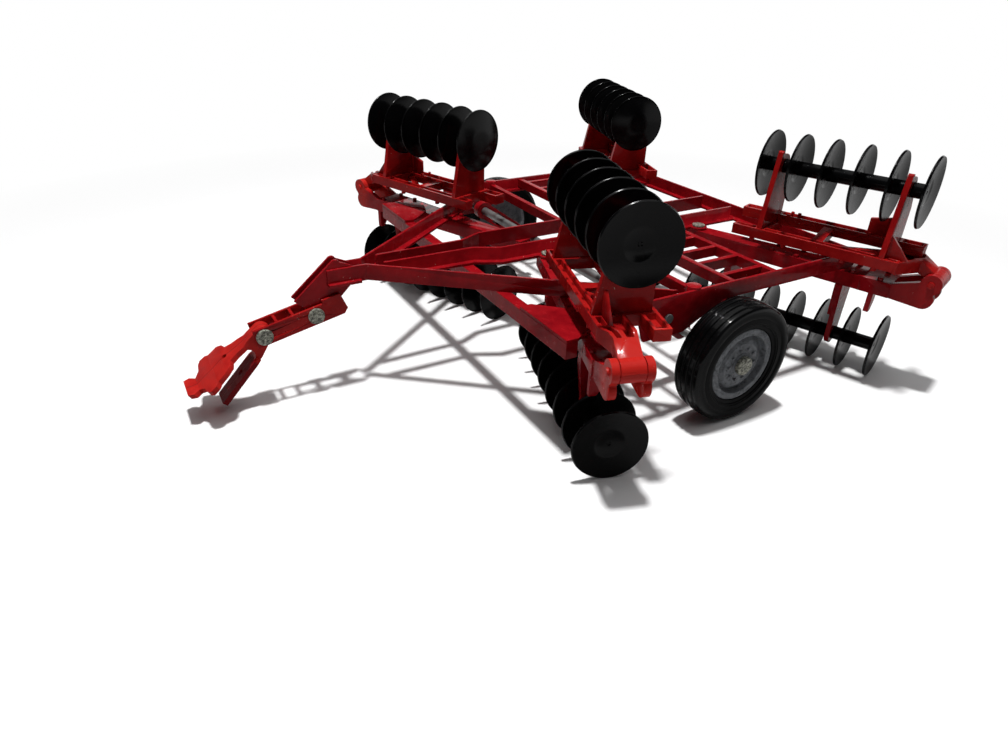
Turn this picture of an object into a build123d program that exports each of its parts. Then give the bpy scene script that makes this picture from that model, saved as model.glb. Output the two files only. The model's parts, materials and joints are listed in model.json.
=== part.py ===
"""Die-cast toy model of a tandem disc harrow, wings folded over the middle gangs.

Millimetres, +Z up. The hitch points along -Y, the machine's left is +X, and Z = 0 is the
floor under the wheels and the lower discs. The origin is the middle of the whole model's
footprint; the frame is drawn about its own datum and moved there at export.
"""
import math
import os

from build123d import *

# ---------------------------------------------------------------- driving sizes
# discs and gangs
DISC_R = 15.75           # blade radius
DISC_PITCH = 14.3        # blade spacing on the spool
DISC_WALL = 1.1          # blade thickness in the middle
RIM_WALL = 0.7           # blade thickness at the edge
DISH = 2.0               # depth of the dished blade
BOSS_R = 5.7             # flat middle of the blade
SPOOL_R = 3.3            # thick spool between blades
GANG_ANGLE = 19.0        # gangs lie this far off square to the travel
LOWER_BLADES = 8
WING_BLADES = 6

# frame levels
FRAME_TOP = 58.5         # top of the main frame members
FRAME_DEPTH = 7.5        # their height
BEAM_TOP = 51.0          # top of the gang beams, under the main frame
BEAM_DEPTH = 7.0
PLATE = 1.3              # wall of the pressed angles and channels
FLANGE = 4.2             # width of their bottom flange
HINGE_Z = 55.0           # height of the wing hinge pins
GAP = 0.3                # running clearance

# plan of the main frame
NOSE_Y = -148.0          # front end of the nose
NOSE_HALF = 4.5          # half width over the nose
SPLIT_Y = -130.0         # where the diagonals leave the centre rails
JOG_Y = (-77.0, -65.0)   # where the centre rails jog outwards
RAIL_HALF = 11.0         # half width over the centre rails behind the jog
REAR_Y = 91.0            # back face of the rear cross bar
SIDE_X = 93.5            # outer face of the side rails
SIDE_FRONT_Y = -46.0
SIDE_REAR_Y = 89.0
SIDE_TAPER = 18.0        # length of the sloping rear end
SIDE_DROP = 11.0         # how far the side rail's web hangs below its rear part
DROP_Y = (-42.0, -20.0, 2.0)   # deep part of the web: front, rear, end of its slope
DIAGONAL_END_Y = -21.0   # where a diagonal meets the side rail
FRONT_BAR_Y = (-84.0, -78.5)
FRONT_BAR_END = 97.0
GUSSET_IN = 62.0         # inner end of the corner gusset
GUSSET_REAR = ((88.5, -61.5), (74.0, -66.0))   # its rear corners
GUSSET = 1.4             # thickness of the corner gusset
LADDER_Y = (7.5, 33.5)   # middle lines of the two ladder bars
LADDER_BAR = 3.0
LADDER_DEPTH = 5.5       # underside of the ladder bars below the frame's top
LADDER_SET = 0.6         # and their top
RUNG_XS = (40.0, 55.0, 69.0, 84.0)
RUNG = 2.6
BRACE_Y = -14.8          # lateral brace between centre and side rail
BRACE_BOSS_R = 3.2       # round boss where it meets the side rail
BOSS_RISE = 1.0          # boss above the rail

# gangs: end -1 is the front pair, +1 the rear pair
# columns: name, end, pivot y, lower outer blade, hinge pin, folded outer blade (along the
# beam), how far the folded discs lie towards mid machine from the lower ones, how far the
# wing's rear bar is raised above its front bar, and the width of the outer hanger's flange
GANGS = (
    ("front", -1, -40.5, 110.1, 119.5, 103.5, 5.0, 0.0, 7.5),
    ("rear", 1, 59.0, 104.7, 119.5, 106.7, 7.6, 3.6, 12.5),
)
PIVOT_X = 16.0           # rivet that fixes the inner end of a gang beam
BEAM_IN = 7.0            # beam end inboard of the rivet
BEAM_OUT = 104.0         # outer end of the beam
BEAM_WIDTH = (8.0, 17.0)       # at the inner and the outer end
BEAM_RIVET_R = 3.4
EAR = 3.0                # thickness of a hinge ear
EAR_R = 4.6
LOBE = (1.5, 7.5, 4.5)   # rounded foot of an ear: inboard of the pin, below it, radius
KNUCKLE = 9.4            # width of the wing's knuckle between the ears
PIN_R = 1.5
PIN_HEAD = 0.8           # pin end beyond an ear

# wing frames, v is towards the machine's front from the folded disc line
WING_LIFT = 1.6          # folded bars above the height of the beam's top mirrored in the hinge
WING_DEPTH = 4.9         # height of the wing bars
FRONT_BAR_V = (8.5, 13.5)      # inner and outer edge of the front bar
REAR_BAR_V = (-12.8, -5.8)
FRONT_BAR_U = (28.0, 106.0)    # ends of the bars along the beam
REAR_BAR_U = (24.0, 111.0)
WING_CROSS_U = 68.5      # middle of the cross piece
WING_CROSS = 5.0
WING_TROUGH = 1.2        # wall of the bars, which are open upwards
BRACE_WIDTH = 3.4        # flat diagonal between the cross piece and the outer hanger
BRACE_DEPTH = 3.0
ARM_TOP_U = 4.0          # level top of the arm beyond the front bar
ARM_WALL = 1.5           # walls of the arm, which is open upwards with a rib along it
ARM_FLOOR = 1.8

# hangers
HANGER_BASE = 20.0
HANGER_WALL = 2.4
HANGER_BORE_R = 3.38
HANGER_EYE_R = 5.6
HORN = (4.4, 6.2, 1.3)   # tip of the horn: forward of the spool, above it, radius
HANGER_FOOT_V = (-10.4, 13.0)  # rear and front of a wing hanger's foot
FLANGE_TOP = (14.6, 12.0)      # upright rear flange above the bar's underside, outer and inner
FLANGE_WALL = 1.8
RIB = (9.0, 10.0, 1.8)   # outboard gusset: along the bar, up the hanger, thickness
SHORT_BRACKET = (2.4, 6.0, 9.5)   # bracket beside the outer blades: wall, width, drop

# wheels and lift
WHEEL_R = 27.8
WHEEL_W = 15.2
WHEEL_X = 106.3
WHEEL_Y = -0.5
RIM_R = 17.0
HUB_R = 4.4
AXLE_R = 2.4
AXLE_FIT = 0.08
AXLE_END = 3.2           # axle end beyond the middle of the wheel
SHAFT_Y = -30.0          # lift rock shaft
SHAFT_Z = 48.4
SHAFT_R = 2.2
SHAFT_HEAD = 1.0         # shaft end beyond the side rail
ARM_X = 72.0             # middle of a lift arm
ARM_W = 5.0
ARM_BOSS_R = 5.0
ARM_DEPTH = 9.0          # depth of the lattice
LATTICE = 1.3            # width of its braces
LATTICE_BAYS = 2

# tongue and hitch
LINK_REAR = (-155.0, 38.8)    # rear rivet of the tongue link (y, z)
LINK_FRONT = (-178.3, 33.7)   # front rivet
LINK_HALF = 5.2
LINK_PLATE = 1.4
LINK_DEPTH = 8.6
LINK_TAIL = (14.6, 13.2, 12.4)   # end of the plate behind the rear rivet: middle, top, bottom
LINK_STEP = (4.5, 1.5)   # behind this distance from the rear rivet the plate is this much higher
LINK_NOSE = 4.0
LINK_WEBS = (8.5, 16.0)  # webs between the plates, from the rear rivet
NOSE_PEAK = (-143.6, 60.2, 2.2)   # rounded peak of a nose plate: y, z, radius
NOSE_CHIN = (-8.2, 7.6)  # lower front corner of a nose plate from the rear rivet
TIP = (-213.4, 13.5)
# top of the upper jaw at distances from the front rivet, above the hitch line
JAW_TOP = ((5.0, 3.1), (9.5, 2.3), (20.0, 2.0), (26.5, 0.7), (31.8, 0.0), (35.3, -0.6), (40.0, 1.1))
JAW_WALL = 2.4
JAW_ROOT = 10.0          # closed end of the drawbar slot
JAW_LOW = ((11.0, -6.6), (33.2, -13.0))   # top of the lower jaw, from root to tip
JAW_LOW_HALF = 5.0
HOLE_S = 19.0            # drawbar pin hole, from the front rivet
HOLE_R = 1.3
RIVET_R = 3.7
RIVET_HEAD = 0.9
# half width of the upper jaw at distances from the front rivet
JAW_PLAN = ((6.8, 3.2), (9.9, 5.0), (13.9, 5.5), (17.0, 6.8), (18.0, 10.2), (20.5, 12.2), (25.6, 12.8),
            (27.4, 14.6), (30.4, 14.8), (31.9, 12.8), (32.7, 8.2), (35.3, 5.4), (37.7, 7.6), (40.0, 6.6))


# ---------------------------------------------------------------- helpers
def box(x0, x1, y0, y1, z0, z1):
    """Plain block between two corners."""
    return Pos((x0 + x1) / 2, (y0 + y1) / 2, (z0 + z1) / 2) * Box(abs(x1 - x0), abs(y1 - y0), abs(z1 - z0))


def direction(p, q):
    length = math.hypot(q[0] - p[0], q[1] - p[1])
    return ((q[0] - p[0]) / length, (q[1] - p[1]) / length)


def strip(path, side_a, side_b, z0, z1):
    """Flat bar along a plan path, between two distances to the right of the path."""
    def offset(side):
        points = []
        for i, (x, y) in enumerate(path):
            before = path[max(i - 1, 0)]
            after = path[min(i + 1, len(path) - 1)]
            d0 = direction(before, (x, y)) if i else direction((x, y), after)
            d1 = direction((x, y), after) if i < len(path) - 1 else d0
            nx, ny = d0[1] + d1[1], -d0[0] - d1[0]
            scale = 2.0 / (nx * nx + ny * ny)
            points.append((x + side * nx * scale, y + side * ny * scale))
        return points
    return slab(offset(side_a) + offset(side_b)[::-1], z0, z1)


def slab(outline, z0, z1):
    """Flat plate with a plan outline in (x, y)."""
    return extrude(Pos(0, 0, z0) * make_face(Polyline(*outline, close=True)), z1 - z0)


def angle_bar(path, top, depth, flange_side):
    """Pressed angle: an upright web with a bottom flange; flange_side is +1 right, -1 left."""
    web = strip(path, 0, flange_side * PLATE, top - depth, top)
    foot = strip(path, 0, flange_side * FLANGE, top - depth, top - depth + PLATE)
    return web + foot


def mirror_x(shape):
    return mirror(shape, Plane.YZ)


def profile_x(points, x0, x1):
    """Plate with a side outline in (y, z), between two x."""
    face = make_face(Polyline(*[(x0, y, z) for y, z in points], close=True))
    return extrude(face, amount=x1 - x0, dir=(1, 0, 0))


def profile_y(points, y0, y1):
    """Plate with an outline in (x, z), between two y."""
    face = make_face(Polyline(*[(x, y0, z) for x, z in points], close=True))
    return extrude(face, amount=y1 - y0, dir=(0, 1, 0))


def rod_x(x0, x1, y, z, r):
    return Pos((x0 + x1) / 2, y, z) * Rot(0, 90, 0) * Cylinder(r, abs(x1 - x0))


def rod_y(x, y0, y1, z, r):
    return Pos(x, (y0 + y1) / 2, z) * Rot(90, 0, 0) * Cylinder(r, abs(y1 - y0))


def post(x, y, z0, z1, r):
    return Pos(x, y, (z0 + z1) / 2) * Cylinder(r, z1 - z0)


def turned_x(section, x, y, z):
    """Solid of revolution about the X direction; section is a face in (radius, along X)."""
    return Pos(x, y, z) * Rot(0, 90, 0) * revolve(Plane.XZ * section, Axis.Z)


def place(shape, side, end, pivot_y):
    """From a gang's own frame (u out along the beam, w towards mid machine, z) to the model."""
    turned = Pos(PIVOT_X, 0, 0) * Rot(0, 0, -GANG_ANGLE) * shape
    if end > 0:
        turned = mirror(turned, Plane.XZ)
    turned = Pos(0, pivot_y, 0) * turned
    return turned if side > 0 else mirror_x(turned)


def on_wing(shape, end, shift):
    """From wing axes (u, v towards the machine's front from the disc line, z) to (u, w, z)."""
    return Pos(0, shift, 0) * (shape if end > 0 else mirror(shape, Plane.XZ))


def along_line(start, toward, s, n):
    """Side-view point s from start in the direction of toward, and n to its left."""
    dy, dz = direction(start, toward)
    return (start[0] + s * dy + n * dz, start[1] + s * dz - n * dy)


# ---------------------------------------------------------------- disc gangs, in (u, w, z)
def blade(u):
    """Spherically dished blade with a flat middle, hollow side outboard, rim plane at u."""
    back = ThreePointArc((BOSS_R, 0), (0.6 * (BOSS_R + DISC_R), 0.45 * DISH), (DISC_R, DISH - RIM_WALL / 2))
    front = ThreePointArc((DISC_R, DISH + RIM_WALL / 2), (0.6 * (BOSS_R + DISC_R), 0.45 * DISH + DISC_WALL),
                          (BOSS_R, DISC_WALL))
    rest = Polyline((BOSS_R, DISC_WALL), (0, DISC_WALL), (0, 0), (BOSS_R, 0))
    edge = Line((DISC_R, DISH - RIM_WALL / 2), (DISC_R, DISH + RIM_WALL / 2))
    return turned_x(make_face([back, edge, front, *rest.edges()]), u - DISH, 0, 0)


def disc_gang(outer_u, count, w, z):
    """Blades on their spool; the spool ends in the flat middles of the end blades."""
    first = outer_u - (count - 1) * DISC_PITCH
    gang = rod_x(first - DISH, outer_u - DISH + DISC_WALL / 2, 0, 0, SPOOL_R)
    for i in range(count):
        gang = gang + blade(first + i * DISC_PITCH)
    return Pos(0, w, z) * gang


def between_blades(outer_u, gaps_in):
    """Middle of the free space between two blades, counted inwards from the outer blade."""
    return outer_u - (gaps_in + 0.5) * DISC_PITCH - DISH / 2


# ---------------------------------------------------------------- lower gangs, in (u, w, z)
def beam_half(u):
    """Half width of the tapered beam at a distance along it."""
    a, b = BEAM_WIDTH[0] / 2, BEAM_WIDTH[1] / 2
    return a + (b - a) * (u + BEAM_IN) / (BEAM_OUT + BEAM_IN)


def gang_beam(hinge_u):
    """Tapered channel with its mouth down, ending in the two ears of the wing hinge."""
    z1, z0 = BEAM_TOP, BEAM_TOP - BEAM_DEPTH
    a, b = BEAM_WIDTH[0] / 2, BEAM_WIDTH[1] / 2
    outer = [(-BEAM_IN, -a), (BEAM_OUT, -b), (BEAM_OUT, b), (-BEAM_IN, a)]
    hollow = [(-BEAM_IN + PLATE, PLATE - a), (BEAM_OUT - 3 * PLATE, PLATE - b),
              (BEAM_OUT - 3 * PLATE, b - PLATE), (-BEAM_IN + PLATE, a - PLATE)]
    beam = slab(outer, z0, z1) - slab(hollow, z0 - 1, z1 - PLATE)
    inner = KNUCKLE / 2 + GAP
    lobe_u, lobe_z, lobe_r = hinge_u - LOBE[0], HINGE_Z - LOBE[1], LOBE[2]
    outline = [(BEAM_OUT - 2 * BEAM_DEPTH, z0), (BEAM_OUT, z0), (lobe_u, lobe_z - lobe_r), (hinge_u + EAR_R, HINGE_Z),
               (hinge_u - EAR_R, HINGE_Z), (BEAM_OUT, z1), (BEAM_OUT - 2 * BEAM_DEPTH, z1)]
    for w0 in (inner, -inner - EAR):
        beam = beam + profile_y(outline, w0, w0 + EAR)
        beam = beam + rod_y(hinge_u, w0, w0 + EAR, HINGE_Z, EAR_R)
        beam = beam + rod_y(lobe_u, w0, w0 + EAR, lobe_z, lobe_r)
    beam = beam - rod_y(hinge_u, -3 * KNUCKLE, 3 * KNUCKLE, HINGE_Z, PIN_R)
    return beam - post(0, 0, z0, z1 + 1, PIN_R)


def beam_rivet():
    """Flat-headed rivet through the rail's lug and the inner end of the beam."""
    top = BEAM_TOP + PLATE
    return post(0, 0, BEAM_TOP - PLATE, top, PIN_R) + post(0, 0, top, top + RIVET_HEAD, BEAM_RIVET_R)


def hinge_pin(hinge_u):
    half = KNUCKLE / 2 + EAR + GAP + PIN_HEAD
    return rod_y(hinge_u, -half, half, HINGE_Z, PIN_R)


def gang_hanger(u):
    """Tapered plate from the beam down to the spool, with a round eye and a lip at each edge."""
    base_z, half = BEAM_TOP - BEAM_DEPTH, HANGER_BASE / 2 - FLANGE / 2
    outline = [(half, base_z), (half, base_z - FLANGE), (HANGER_EYE_R, DISC_R), (-HANGER_EYE_R, DISC_R),
               (-half, base_z - FLANGE), (-half, base_z)]
    u0, u1 = u - HANGER_WALL / 2, u + HANGER_WALL / 2
    plate = profile_x(outline, u0, u1) + rod_x(u0, u1, 0, DISC_R, HANGER_EYE_R)
    lip_z = DISC_R + 2 * HANGER_EYE_R
    for sign in (-1, 1):
        lip = profile_x([(sign * half, base_z), (sign * half, base_z - FLANGE),
                         (sign * (HANGER_EYE_R + 0.8), lip_z), (sign * (HANGER_EYE_R - 0.5), lip_z),
                         (sign * (half - PLATE), base_z - FLANGE), (sign * (half - PLATE), base_z)],
                        u0 - PLATE, u0)
        plate = plate + lip
    return plate - rod_x(u0 - HANGER_WALL, u1 + HANGER_WALL, 0, DISC_R, HANGER_BORE_R)


def short_bracket(u, end):
    """Small plate under the beam's front edge beside the outer blades."""
    wall, width, drop = SHORT_BRACKET
    base_z, w1 = BEAM_TOP - BEAM_DEPTH, end * beam_half(u - wall / 2)
    return profile_x([(w1, base_z), (w1 - end * width, base_z), (w1 - end * width, base_z - drop / 2),
                      (w1 - end * width / 2, base_z - drop), (w1, base_z - drop)], u - wall / 2, u + wall / 2)


# ---------------------------------------------------------------- wings, in (u, v, z)
WING_Z0 = 2 * HINGE_Z - BEAM_TOP + WING_LIFT   # underside of the folded wing bars
WING_Z1 = WING_Z0 + WING_DEPTH
WING_AXLE_Z = 2 * HINGE_Z - DISC_R        # unfolded, the wing discs stand as low as the others


def trough(u0, u1, v0, v1, rise):
    """Bar that is open upwards, with closed ends."""
    wall, z0, z1 = WING_TROUGH, WING_Z0 + rise, WING_Z1 + rise
    bar = box(u0, u1, v0, v1, z0, z1)
    return bar - box(u0 + wall, u1 - wall, v0 + wall, v1 - wall, z0 + 2 * wall, z1 + 1)


def wing_frame(hinge_u, inner_u, outer_u, end, shift, rise):
    """Two bars, solid under the hangers, with a cross piece, a diagonal and the arm to the knuckle."""
    f0, f1 = FRONT_BAR_V
    r0, r1 = REAR_BAR_V
    half, lip = WING_CROSS / 2, WING_TROUGH / 2
    frame = trough(*FRONT_BAR_U, f0, f1, 0) + trough(*REAR_BAR_U, r0, r1, rise)
    frame = frame + profile_x([(f0 + lip, WING_Z0), (f0 + lip, WING_Z1 - lip), (r1 - lip, WING_Z1 - lip + rise),
                               (r1 - lip, WING_Z0 + rise)], WING_CROSS_U - half, WING_CROSS_U + half)
    for u in (inner_u, outer_u):
        frame = frame + box(u - half, u + half, r0, f1, WING_Z0, WING_Z1)
        frame = frame + box(u - half, u + half, r0, r1, WING_Z0, WING_Z1 + rise)
    start, stop = (WING_CROSS_U + half, f0), (outer_u - half, r1)
    brace = strip([start, stop], -BRACE_WIDTH / 2, BRACE_WIDTH / 2, WING_Z0, WING_Z0 + BRACE_DEPTH)
    frame = frame + brace
    hinge_v = -end * shift
    edge0, edge1 = hinge_v - KNUCKLE / 2, hinge_v + KNUCKLE / 2
    bar_end, outer = FRONT_BAR_U[1], hinge_u + EAR_R
    neck_u = hinge_u - 1.6 * EAR_R
    sides = profile_y([(bar_end - 2 * WING_DEPTH, WING_Z0), (bar_end - 2 * WING_DEPTH, WING_Z1),
                       (bar_end + ARM_TOP_U, WING_Z1), (outer, HINGE_Z + 1), (outer, HINGE_Z),
                       (hinge_u - EAR_R, HINGE_Z), (hinge_u - EAR_R, HINGE_Z + 2), (bar_end - 2, WING_Z0)],
                      min(edge0, f0) - 1, f1 + 1)
    inner_v = min(f0, edge0)
    plan = slab([(bar_end - 2 * WING_DEPTH, f1), (bar_end, f1), (neck_u, edge1), (outer, edge1),
                 (outer, edge0), (neck_u, edge0), (bar_end - 2 * WING_DEPTH, inner_v)], WING_Z0 - 2 * EAR_R, WING_Z1)
    knuckle = rod_y(hinge_u, edge0, edge1, HINGE_Z, EAR_R)
    bore = rod_y(hinge_u, edge0 - 1, edge1 + 1, HINGE_Z, PIN_R + AXLE_FIT)
    wall, start_u = ARM_WALL, outer_u + half
    floor = profile_y([(start_u, WING_Z0 + ARM_FLOOR), (start_u, WING_Z1 + 1), (neck_u, WING_Z1 + 1),
                       (neck_u, HINGE_Z + 3 + ARM_FLOOR), (bar_end - 2, WING_Z0 + ARM_FLOOR)], inner_v, f1)
    well = slab([(start_u, f1 - wall), (bar_end, f1 - wall), (neck_u, edge1 - wall), (neck_u, edge0 + wall),
                 (start_u, inner_v + wall)], WING_Z0 - 2 * EAR_R, WING_Z1 + 1)
    rib_u = outer_u + HANGER_WALL / 2 + RIB[0]
    rib = strip([(start_u - 1, f0), (rib_u, f0), (neck_u + 1, hinge_v)], -RIB[2] / 2, RIB[2] / 2, WING_Z0, WING_Z1 + 1)
    arm = (sides & plan) - ((floor & well) - rib)
    return frame + arm + knuckle - bore


def wing_hanger(u, rise):
    """Leaning plate over both bars: sloping front edge, upright rear edge, eye and horn."""
    z0, axle = WING_Z1, WING_AXLE_Z
    back, front = HANGER_FOOT_V
    horn_v, horn_z, horn_r = HORN[0], axle + HORN[1], HORN[2]
    foot = [(back, z0)] if rise == 0 else [(back, z0 + rise), (REAR_BAR_V[1], z0 + rise), (REAR_BAR_V[1], z0)]
    outline = [*foot, (front, z0), (front - 0.5, z0 + 3), (horn_v + horn_r, horn_z),
               (horn_v - horn_r, horn_z), (-1, axle + HANGER_EYE_R), (-HANGER_EYE_R, axle),
               (back, z0 + rise + FLANGE_TOP[0])]
    u0, u1 = u - HANGER_WALL / 2, u + HANGER_WALL / 2
    plate = profile_x(outline, u0, u1) + rod_x(u0, u1, 0, axle, HANGER_EYE_R)
    plate = plate + rod_x(u0, u1, horn_v, horn_z, horn_r)
    return plate - rod_x(u0 - 1, u1 + 1, 0, axle, HANGER_BORE_R)


def hanger_stays(u, rise, width):
    """Upright flange inboard at the rear edge and a gusset outboard on the front bar."""
    back = HANGER_FOOT_V[0]
    u0, u1 = u - HANGER_WALL / 2, u + HANGER_WALL / 2
    z0 = WING_Z1
    outer_z, inner_z = (WING_Z0 + rise + height for height in FLANGE_TOP)
    flange = profile_y([(u0 - width, z0 + rise), (u0, z0 + rise), (u0, outer_z), (u0 - width, inner_z)],
                       back, back + FLANGE_WALL)
    length, height, wall = RIB
    f0 = FRONT_BAR_V[0]
    rib = profile_y([(u1, z0), (u1 + length, z0), (u1, z0 + height)], f0 - wall / 2, f0 + wall / 2)
    return flange + rib


# ---------------------------------------------------------------- main frame
def side_rail():
    """Angle with a sloping rear end and a deep web that carries the lift shaft."""
    low, deep = FRAME_TOP - FRAME_DEPTH, FRAME_TOP - FRAME_DEPTH - SIDE_DROP
    web = profile_x([
        (SIDE_FRONT_Y, FRAME_TOP), (SIDE_FRONT_Y, low), (DROP_Y[0], deep), (DROP_Y[1], deep), (DROP_Y[2], low),
        (SIDE_REAR_Y - 1.5, low), (SIDE_REAR_Y, low + 3), (SIDE_REAR_Y - SIDE_TAPER, FRAME_TOP),
    ], SIDE_X - PLATE, SIDE_X)
    foot = box(SIDE_X - FLANGE, SIDE_X, SIDE_FRONT_Y, SIDE_REAR_Y - SIDE_TAPER, low, low + PLATE)
    boss = post(SIDE_X - BRACE_BOSS_R, BRACE_Y, low, FRAME_TOP + BOSS_RISE, BRACE_BOSS_R)
    rail = web + foot + boss
    return rail - rod_x(SIDE_X - 2 * FLANGE, SIDE_X + FLANGE, SHAFT_Y, SHAFT_Z, SHAFT_R)


def ladder():
    """Two cross bars with rungs, and the single brace ahead of them."""
    low, top, half = FRAME_TOP - LADDER_DEPTH, FRAME_TOP - LADDER_SET, LADDER_BAR / 2
    x0, x1 = RAIL_HALF + PLATE, SIDE_X - PLATE
    grid = box(x0, SIDE_X - 2 * BRACE_BOSS_R + 0.5, BRACE_Y - half, BRACE_Y + half, low, top)
    grid = grid - post(SIDE_X - BRACE_BOSS_R, BRACE_Y, low - 1, top + 1, BRACE_BOSS_R)
    for y in LADDER_Y:
        grid = grid + box(x0, x1, y - half, y + half, low, top)
    for x in RUNG_XS:
        grid = grid + box(x - RUNG / 2, x + RUNG / 2, *LADDER_Y, low, top)
    return grid


def front_bar():
    """Channel with its mouth down, under the centre rails and the diagonals."""
    z0 = BEAM_TOP - BEAM_DEPTH
    hollow = box(-FRONT_BAR_END + PLATE, FRONT_BAR_END - PLATE, FRONT_BAR_Y[0] + PLATE, FRONT_BAR_Y[1] - PLATE,
                 z0 - 1, BEAM_TOP - PLATE)
    return box(-FRONT_BAR_END, FRONT_BAR_END, *FRONT_BAR_Y, z0, BEAM_TOP) - hollow


def front_gusset():
    """Corner plate over the end of the front cross bar and the gang beam behind it."""
    front_y, rear_y = FRONT_BAR_Y
    corner = [(GUSSET_IN, front_y), (FRONT_BAR_END, front_y), (FRONT_BAR_END, rear_y), *GUSSET_REAR,
              (GUSSET_IN, rear_y)]
    return slab(corner, BEAM_TOP, BEAM_TOP + GUSSET)


nodes = {}
frame_low = FRAME_TOP - FRAME_DEPTH
diagonal_path = [(NOSE_HALF, NOSE_Y), (NOSE_HALF, SPLIT_Y), (SIDE_X - PLATE, DIAGONAL_END_Y)]
rail_path = [(NOSE_HALF, SPLIT_Y + 8), (NOSE_HALF + 0.7, JOG_Y[0]), (RAIL_HALF, JOG_Y[1]),
             (RAIL_HALF, REAR_Y - FLANGE)]

diagonal = angle_bar(diagonal_path, FRAME_TOP, FRAME_DEPTH, -1)
diagonal = diagonal - box(SIDE_X - FLANGE, SIDE_X + 20, -60, 60, 0, 100)
diagonal = diagonal - box(-20, NOSE_HALF - PLATE, NOSE_Y - 1, SPLIT_Y - 3, 0, 100)
diagonal = diagonal + box(NOSE_HALF, NOSE_HALF + FLANGE / 2, NOSE_Y, SPLIT_Y - 3, frame_low, frame_low + PLATE)

rail = angle_bar(rail_path, FRAME_TOP, FRAME_DEPTH, 1)
rail = rail - strip(diagonal_path, 0, -FLANGE, 0, 100) - box(RAIL_HALF - 2, 40, NOSE_Y, JOG_Y[0] - 8, 0, 100)
for _, _, pivot_y, *_ in GANGS:
    rail = rail + post(PIVOT_X, pivot_y, frame_low, frame_low + PLATE, BEAM_RIVET_R + PLATE)
    rail = rail - post(PIVOT_X, pivot_y, frame_low - 1, frame_low + 2 * PLATE, PIN_R)

rear_path = [(-SIDE_X + PLATE, REAR_Y), (SIDE_X - PLATE, REAR_Y)]

for name, shape in (("diagonal", diagonal), ("centre_rail", rail), ("side_rail", side_rail()), ("ladder", ladder())):
    nodes[f"{name}_left"] = shape
    nodes[f"{name}_right"] = mirror_x(shape)
nodes["front_cross_bar"] = front_bar()
nodes["front_gussets"] = Compound([front_gusset(), mirror_x(front_gusset())])
nodes["rear_cross_bar"] = angle_bar(rear_path, FRAME_TOP, FRAME_DEPTH, 1)

# ---------------------------------------------------------------- nose plates
peak_y, peak_z, peak_r = NOSE_PEAK
nose_x = (NOSE_HALF - 2 * PLATE, NOSE_HALF - PLATE)
nose = profile_x([
    (peak_y - 0.7 * peak_r, peak_z + 0.7 * peak_r), (peak_y + 0.9 * peak_r, peak_z + 0.4 * peak_r),
    (NOSE_Y + 12, FRAME_TOP), (NOSE_Y + 12, frame_low), (LINK_REAR[0] + 3, LINK_REAR[1] - 3),
    (LINK_REAR[0] - 3, LINK_REAR[1] + 2.5), (LINK_REAR[0] + NOSE_CHIN[0], LINK_REAR[1] + NOSE_CHIN[1]),
], *nose_x)
nose = nose + rod_x(*nose_x, peak_y, peak_z, peak_r) + rod_x(*nose_x, *LINK_REAR, LINK_DEPTH / 2)
nose = nose - rod_x(-LINK_HALF, LINK_HALF, *LINK_REAR, PIN_R)
nose_web = box(-nose_x[1], nose_x[1], NOSE_Y + 4, NOSE_Y + 9, FRAME_TOP - 4, FRAME_TOP - 1)
nodes["nose_plates"] = nose + mirror_x(nose) + nose_web

# ---------------------------------------------------------------- gangs and wings
rivets = []
for end_name, end, pivot_y, lower_u, hinge_u, folded_u, shift, rise, flange in GANGS:
    inner_gap, outer_gap = between_blades(folded_u, 4), between_blades(folded_u, 0)
    lower_hangers = gang_hanger(between_blades(lower_u, 1)) + gang_hanger(between_blades(lower_u, 5))
    lower_hangers = lower_hangers + short_bracket(between_blades(lower_u, 0), end)
    wing_hangers = wing_hanger(inner_gap, rise) + wing_hanger(outer_gap, rise)
    wing_hangers = wing_hangers + hanger_stays(outer_gap, rise, flange)
    pieces = {
        "gang_beam": gang_beam(hinge_u),
        "hinge_pin": hinge_pin(hinge_u),
        "gang_hangers": lower_hangers,
        "disc_gang": disc_gang(lower_u, LOWER_BLADES, 0, DISC_R),
        "wing_frame": on_wing(wing_frame(hinge_u, inner_gap, outer_gap, end, shift, rise), end, shift),
        "wing_hangers": on_wing(wing_hangers, end, shift),
        "wing_gang": disc_gang(folded_u, WING_BLADES, shift, WING_AXLE_Z),
    }
    for side_name, side in (("left", 1), ("right", -1)):
        rivets.append(place(beam_rivet(), side, end, pivot_y))
        for name, shape in pieces.items():
            nodes[f"{name}_{end_name}_{side_name}"] = place(shape, side, end, pivot_y)

nodes["beam_rivets"] = Compound(rivets)

# ---------------------------------------------------------------- lift
shaft_end = SIDE_X + SHAFT_HEAD
nodes["lift_shaft"] = rod_x(-shaft_end, shaft_end, SHAFT_Y, SHAFT_Z, SHAFT_R)


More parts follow.
